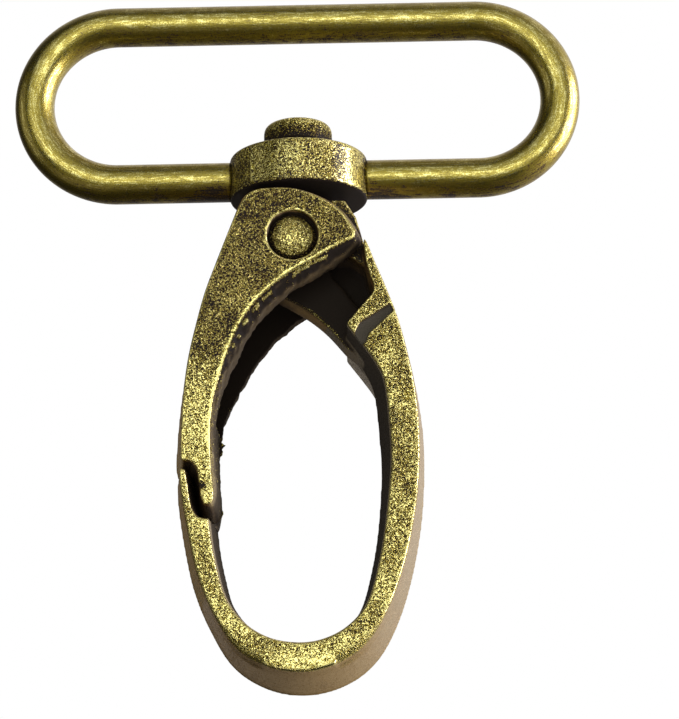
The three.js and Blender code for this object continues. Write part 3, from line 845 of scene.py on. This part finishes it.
def antique_brass(name, grain=3600.0, cover=0.0, contrast=1.0, pit_depth=0.00007, coat=0.06, streaks=False):
    """Plated brass, blackened and rubbed back: bright on edges and open faces, dark in pits and hollows,
    with painted highlight and painted shade from the vertex marks.

    grain is the pattern's scale, cover how much of the brass is rubbed bare, and contrast how
    strongly the pattern shows. pit_depth is in metres, and coat is the lacquer's weight.
    """
    n = Nodes(name)
    open_, wall, painted_shade_and_patina = (n.attribute(mark_name) for mark_name in ("open", "wall", "painted_shade_and_patina"))
    clear = n.math("SUBTRACT", 1.0, painted_shade_and_patina)
    grains = brass_grains(n, grain, contrast, streaks)
    blotch = n.noise(n.place, grain * BLOTCH_FINENESS, 2.0, 0.5, 0.4)

    # How far the surface is rubbed, with the marks' painted highlight and painted shade added in: bare
    # metal above about 0, patina below.
    sharp = n.math("MULTIPLY", n.between(n.attribute("edge"), 0.008, 0.035), n.between(open_, 0.35, 0.6))
    rubbed = n.scale_add(n.between(open_, 0.5, 0.92), 0.4, n.math("MULTIPLY", sharp, 0.4))
    rubbed = n.scale_add(n.attribute("polish_and_painted_light"), 0.25, rubbed)
    rubbed = n.scale_add(n.math("SUBTRACT", blotch, 0.5), 0.5, rubbed)
    rubbed = n.scale_add(painted_shade_and_patina, -0.8, rubbed)
    level = n.math("ADD", n.math("ADD", grains, rubbed), cover - 0.95)
    bare = n.between(level, -0.07, 0.05)

    # Faces go from patina through brown to brass, with painted glints of pale brass on the highest grains
    # and on sharp edges.
    tone = n.mix(n.between(level, 0.0, 0.14), BRASS_BROWN, BRASS)
    painted_glint = n.scale_add(grains, 0.5, n.scale_add(sharp, 0.2, level))
    bright = n.mix(n.between(painted_glint, 0.54, 0.88), tone, PAINTED_GLINT_PALE)
    worn = n.mix(bare, PATINA, bright)

    # Side walls are plainer: a soft mottle from dark to brown, or to a painted pale grey sheen where they
    # face sideways.
    pale = n.mix(n.attribute("side"), WALL_BROWN, WALL_SHEEN_GREY)
    mottle = n.scale_add(grains, 0.3, n.scale_add(blotch, 0.7, open_))
    smooth = n.mix(n.between(mottle, 0.75, 1.5), WALL_DARK, pale)
    plain = n.math("MULTIPLY", wall, clear)

    n.shade("Base Color", n.mix(n.attribute("grey"), n.mix(plain, worn, smooth), SCALE_GREY))
    n.shade("Metallic", n.math("MAXIMUM", n.between(bare, 0.0, 0.6), plain))
    rough = n.scale_add(wall, 0.14, n.between(level, -0.1, 0.4, 0.55, 0.24))
    n.shade("Roughness", n.scale_add(painted_shade_and_patina, 0.35, rough))
    n.shade("Coat Weight", n.math("MULTIPLY", clear, coat))
    n.shader.inputs["Specular IOR Level"].default_value = 0.12
    n.shader.inputs["Coat Roughness"].default_value = 0.22
    relief = n.math("MULTIPLY", n.between(level, -0.3, 0.5), n.scale_add(wall, -0.94, 1.0))
    n.bump(relief, pit_depth)
    return n.material


def spring_steel():
    """Steel wire, blackened and a little oily."""
    n = Nodes("blackened_spring_steel")
    mottle = n.noise(n.place, 1500, 3.0, 0.6, 0.2)
    n.shade("Base Color", n.mix(n.between(mottle, 0.35, 0.7), STEEL_BLACK, STEEL_WORN))
    n.shade("Roughness", n.between(mottle, 0.3, 0.7, 0.5, 0.3))
    n.shade("Metallic", 0.9)
    n.bump(mottle, 0.00001)
    return n.material


# ---- The pieces ----

def inside(points, corners):
    """Which points lie inside the outline, seen along Y."""
    x, z = points[:, 0], points[:, 2]
    within = np.zeros(len(points), bool)
    for (x0, z0), (x1, z1) in zip(corners, corners[1:] + corners[:1]):
        crosses = (z0 > z) != (z1 > z)
        within ^= crosses & (x < x0 + (z - z0) * (x1 - x0) / (z1 - z0 + 1e-9))
    return within


# Where the marks on the castings start and end, in z unless the name says x or depth.
WEB_FOOT, WEB_HEAD = -28.5, -20
WEB_RIGHT_X, WEB_MARK_DEPTH = 5.7, 1.75
LEDGE_FOOT = -25.5  # the hook's right inner wall runs down from here
NOSE_HEAD = -38  # and its left inner wall from here
SHADE_FOOT = -47
OUTER_LEFT_X = -5
GATE_BEVEL_FOOT = -36
GATE_WALL_HEAD = -30
RIM_DEPTH = 0.35


def band(values, low, high):
    return (values > low) & (values < high)


def facing(shares):
    """0 to 1 as a surface turns towards a direction, from its normal's share of that direction."""
    return np.clip((shares - 0.2) / 0.5, 0, 1)


def walls(normals):
    """How far each point lies on a side wall rather than on a front or back face."""
    return 0.85 * np.clip((0.6 - np.abs(normals[:, 1])) / 0.3, 0, 1)


def outer_left(points, normals):
    """The outer wall on the left, in the light's shade."""
    return (points[:, 0] < OUTER_LEFT_X) & (normals[:, 0] < -0.5)


def hook_marks(points, normals):
    """Brighter towards the bottom, partly rubbing and partly painted highlight, with a painted highlight on
    the bow's crest; painted shade on the inner walls and outer left wall; patina and painted shade on the
    web.
    """
    x, y, z = points.T
    rightwards = normals[:, 0]
    inner_right = (x > 0) * (z < LEDGE_FOOT) * facing(-rightwards)
    inner_left = (x < 0) * (z < NOSE_HEAD) * facing(rightwards)
    # Painted shade on both inner walls, deepest behind their front edges, and on the outer left wall.
    front = np.interp(y, (-5.1, -4.8, 0, 1.5), (0, 0.95, 0.95, 0))
    shade = 0.3 * (outer_left(points, normals) & (z > SHADE_FOOT))
    painted_shade_and_patina = np.maximum(inner_right * front + shade, inner_left * np.interp(y, (-4.7, -3.9), (0, 0.85)))
    # The web is darkened as patina and painted shade; the groove floor loses its shine.
    web = (np.abs(y) < WEB_MARK_DEPTH) & band(z, WEB_FOOT, WEB_HEAD) & (x < WEB_RIGHT_X)
    groove_floor = inside(points, GROOVE) & band(y, 0.18 - FACE, 0.6 - FACE)
    painted_shade_and_patina = np.where(groove_floor, 1, np.where(web, 0.72, painted_shade_and_patina))
    # Brighter towards the bottom, partly rubbing and partly painted highlight; the next line paints a
    # highlight along the bow's outer crest.
    polish_and_painted_light = np.where(x > 3, np.interp(-z, (25, 38, 50), (0.1, 0.2, 0.5)), 0.6)
    polish_and_painted_light = polish_and_painted_light + np.interp(-z, (50.9, 51.7), (0, 0.6))
    # Walls facing right, and the inner right wall, are painted with the pale sheen.
    side = np.maximum(inner_right, np.maximum(rightwards, 0) ** 2)
    return {"polish_and_painted_light": polish_and_painted_light, "painted_shade_and_patina": painted_shade_and_patina, "side": side, "grey": groove_floor, "wall": walls(normals)}


def wire_marks(points, normals):
    """Painted shade: darker and browner underneath."""
    return {"painted_shade_and_patina": 0.32 * np.clip(-normals[:, 2] - 0.2, 0, 1)}


def collar_marks(points, normals):
    """Rubbed bright across the front, a painted highlight on the right flank, painted shade on the flanks
    beside them, and black painted shade underneath.
    """
    turn = np.degrees(np.arctan2(points[:, 0], -points[:, 1]))
    # Rubbed bright across the front; a painted highlight on the right flank; painted shade on the flanks
    # beside them.
    polish_and_painted_light = np.interp(turn, (-55, -25, 22, 36, 44, 62, 72), (-0.4, 0.35, 0.35, -0.1, 0.9, 0.9, -0.3))
    # Black painted shade underneath.
    return {"polish_and_painted_light": polish_and_painted_light, "painted_shade_and_patina": np.clip(-normals[:, 2] * 1.3 - 0.4, 0, 0.8)}


def pin_marks(points, normals):
    """Darker round the side of the head, below its rounded top."""
    return {"painted_shade_and_patina": 0.22 * (points[:, 2] < HEAD_TOP - HEAD_CORNER)}


def gate_marks(points, normals):
    """Brighter towards the tip and along the opening's rim, partly rubbing and partly painted highlight;
    patina and painted shade black in the channel; painted shade on the bevel and walls.
    """
    x, y, z = points.T
    rightwards, lean = normals[:, 0], lean_inwards(normals)
    bevel = (lean > 0.3) & (z > GATE_BEVEL_FOOT)
    rim = band(lean, 0.07, 0.65) & (y < RIM_DEPTH - FACE) & (z > GATE_BEVEL_FOOT)
    inner = (rightwards > 0.5) & (z < GATE_WALL_HEAD)
    # Painted shade on the bevel, on the inner wall that faces the right lamp, and on the outer left wall;
    # none on the rim.
    painted_shade_and_patina = np.maximum(bevel * np.interp(y, (-5.1, -4.2, 0), (0.45, 0.8, 0.9)),
                       inner * np.interp(y, (-4.9, -3.6, 5), (0.2, 0.8, 0.9)))
    painted_shade_and_patina = np.where(rim, 0, np.where(outer_left(points, normals), 0.3, painted_shade_and_patina))
    # Patina and painted shade fill the channel between the cheeks.
    widened = [[cx - 0.15, cz] for cx, cz in CHANNEL_OUTLINE]
    within = inside(points, widened) & (np.abs(y) < CHANNEL + 0.08)
    painted_shade_and_patina = np.where(within, 1, painted_shade_and_patina)
    # Brighter towards the tip, partly rubbing and partly painted highlight; the rim is partly worn edge and
    # partly painted highlight.
    polish_and_painted_light = np.interp(-z, (22, 28, 33), (-0.2, -0.15, 1.2)) + 2.5 * rim
    return {"polish_and_painted_light": polish_and_painted_light, "painted_shade_and_patina": painted_shade_and_patina, "side": np.maximum(rightwards, 0), "wall": walls(normals)}


def dress(obj, material, body, node):
    obj.data.materials.clear()
    obj.data.materials.append(material)
    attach(obj, body)
    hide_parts(node)


def make_pieces():
    tree = frame_tree()
    wire_brass = antique_brass("wire_brass", cover=0.33, contrast=0.6, pit_depth=0.00001, coat=0.8,
                               streaks=True)
    cast_brass = antique_brass("cast_brass", cover=0.07)
    collar_brass = antique_brass("collar_brass", grain=2900.0, cover=0.1, coat=0.35)
    gate_brass = antique_brass("gate_brass")
    pin_brass = antique_brass("pin_brass", cover=0.16)
    rows = [
        (ring(), wire_brass, "strap_ring", "ring", "wire_brass", wire_marks),
        (swivel_collar(), collar_brass, "strap_ring", "swivel_collar", "cast_brass", collar_marks),
        (swivel_pin(), pin_brass, "hook", "swivel_pin", "pin_brass", pin_marks),
        (hook_body(), cast_brass, "hook", "hook_body", "cast_brass", hook_marks),
        (pivot_rivet(), pin_brass, "hook", "pivot_rivet", "pin_brass", None),
        (gate(), gate_brass, "gate", "gate", "gate_brass", gate_marks),
    ]
    for obj, material, body, node, slot, graded in rows:
        mark(obj, tree, graded)
        dress(obj, material, body, node)


def make_spring():
    spring = gate_spring()
    finish_mesh(spring)
    spring.data.materials.clear()
    spring.data.materials.append(spring_steel())
    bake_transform(spring)
    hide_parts("gate_spring")


# ---- Camera, lights and surroundings ----

CAMERA_PLACE = (2.87, -198.55, -84.86)  # in millimetres; the angles are in degrees
CAMERA_YAW, CAMERA_PITCH, CAMERA_ROLL = 0.012, 16.054, -1.124
LENS = 135.19


def make_camera():
    yaw, pitch, roll = (math.radians(a) for a in (CAMERA_YAW, CAMERA_PITCH, CAMERA_ROLL))
    forward = Vector((math.sin(yaw) * math.cos(pitch), math.cos(yaw) * math.cos(pitch), math.sin(pitch)))
    right = Vector((math.cos(yaw), -math.sin(yaw), 0))
    up = right.cross(forward)
    right_rolled = right * math.cos(roll) + up * math.sin(roll)
    up_rolled = up * math.cos(roll) - right * math.sin(roll)
    rotation = Matrix((right_rolled, up_rolled, -forward)).transposed().to_4x4()
    camera = bpy.data.objects.new("camera", bpy.data.cameras.new("camera"))
    camera.data.sensor_width = 36
    camera.data.lens = LENS
    camera.data.clip_start = 0.01
    camera.data.clip_end = 100
    camera.matrix_world = Matrix.Translation(Vector(CAMERA_PLACE) * MM) @ rotation
    bpy.context.scene.collection.objects.link(camera)
    bpy.context.scene.camera = camera


def softbox(name, azimuth, elevation, distance, width, height, watts, colour):
    """A rectangular lamp facing the object. Azimuth 0 is in front of it, and 90 at its right."""
    a, e = math.radians(azimuth), math.radians(elevation)
    out = Vector((math.sin(a) * math.cos(e), -math.cos(a) * math.cos(e), math.sin(e)))
    lamp = bpy.data.lights.new(name, "AREA")
    lamp.shape = "RECTANGLE"
    lamp.size = width
    lamp.size_y = height
    lamp.energy = watts
    lamp.color = colour
    obj = bpy.data.objects.new(name, lamp)
    obj.location = Vector((0, 0, -0.025)) + out * distance
    obj.rotation_mode = "QUATERNION"
    obj.rotation_quaternion = out.to_track_quat("Z", "Y")
    obj.visible_camera = False
    bpy.context.scene.collection.objects.link(obj)


# Name, azimuth and elevation in degrees, distance, width and height in metres, watts, colour.
SOFTBOXES = [
    ("front_box", 0, 9, 0.7, 0.9, 0.27, 1.6, (1.0, 1.0, 0.9)),
    ("upper_box", 0, 38, 0.7, 0.8, 0.38, 0.55, (1.0, 1.0, 0.95)),
    ("lower_box", 0, -11, 0.7, 0.8, 0.18, 0.25, (1.0, 1.0, 0.95)),
    ("left_box", -40, -38, 0.7, 0.8, 0.3, 0.25, (1.0, 0.9, 0.75)),
    ("left_side_box", -75, 8, 0.6, 0.35, 0.5, 0.25, (1.0, 0.95, 0.8)),
    ("right_box", 85, 5, 0.6, 0.4, 0.5, 5, (0.92, 0.87, 1.0)),
]

ROOM_COLOUR = (1.0, 0.93, 0.9, 1)
ROOM_LEAN = (0.7, 0.62, 0.35)  # the room is brightest this way, and dark the other way
FLOOR_HALF_WIDTH, FLOOR_HEIGHT = 6, -0.26  # in metres


def set_inputs(node, **values):
    for name, value in values.items():
        node.inputs[name.replace("_", " ")].default_value = value


def make_backdrop():
    """White for the camera, and for reflections a room that is lighter behind and to the right."""
    world = bpy.data.worlds.new("studio")
    bpy.context.scene.world = world
    world.use_nodes = True
    tree = world.node_tree
    tree.nodes.clear()
    place = tree.nodes.new("ShaderNodeTexCoord")
    lean = tree.nodes.new("ShaderNodeVectorMath")
    lean.operation = "DOT_PRODUCT"
    lean.inputs[1].default_value = ROOM_LEAN
    rise = tree.nodes.new("ShaderNodeMapRange")
    rise.interpolation_type = "SMOOTHSTEP"
    set_inputs(rise, From_Min=-0.15, From_Max=0.95, To_Min=0.02, To_Max=0.7)
    room = tree.nodes.new("ShaderNodeBackground")
    set_inputs(room, Color=ROOM_COLOUR)
    pale = tree.nodes.new("ShaderNodeBackground")
    set_inputs(pale, Color=(1, 1, 1, 1))
    path = tree.nodes.new("ShaderNodeLightPath")
    choose = tree.nodes.new("ShaderNodeMixShader")
    out = tree.nodes.new("ShaderNodeOutputWorld")
    tree.links.new(place.outputs["Generated"], lean.inputs[0])
    tree.links.new(lean.outputs["Value"], rise.inputs["Value"])
    tree.links.new(rise.outputs["Result"], room.inputs["Strength"])
    tree.links.new(path.outputs["Is Camera Ray"], choose.inputs[0])
    tree.links.new(room.outputs[0], choose.inputs[1])
    tree.links.new(pale.outputs[0], choose.inputs[2])
    tree.links.new(choose.outputs[0], out.inputs["Surface"])


def make_floor():
    """A pale floor well below the hook, left out of its reflections."""
    corners = [(x * FLOOR_HALF_WIDTH, y * FLOOR_HALF_WIDTH, FLOOR_HEIGHT)
               for x, y in ((-1, -1), (1, -1), (1, 1), (-1, 1))]
    floor = new_object("floor", corners, [(0, 1, 2, 3)])
    material = bpy.data.materials.new("pale_floor")
    material.use_nodes = True
    set_inputs(material.node_tree.nodes["Principled BSDF"], Base_Color=(0.85, 0.85, 0.85, 1), Roughness=0.9,
               Emission_Color=(1, 1, 1, 1), Emission_Strength=0.4)
    floor.data.materials.append(material)
    floor.visible_glossy = False


def make_surroundings():
    make_backdrop()
    for row in SOFTBOXES:
        softbox(*row)
    make_floor()
    bpy.context.scene.view_settings.view_transform = "Standard"


make_camera()
make_surroundings()
make_pieces()
make_spring()
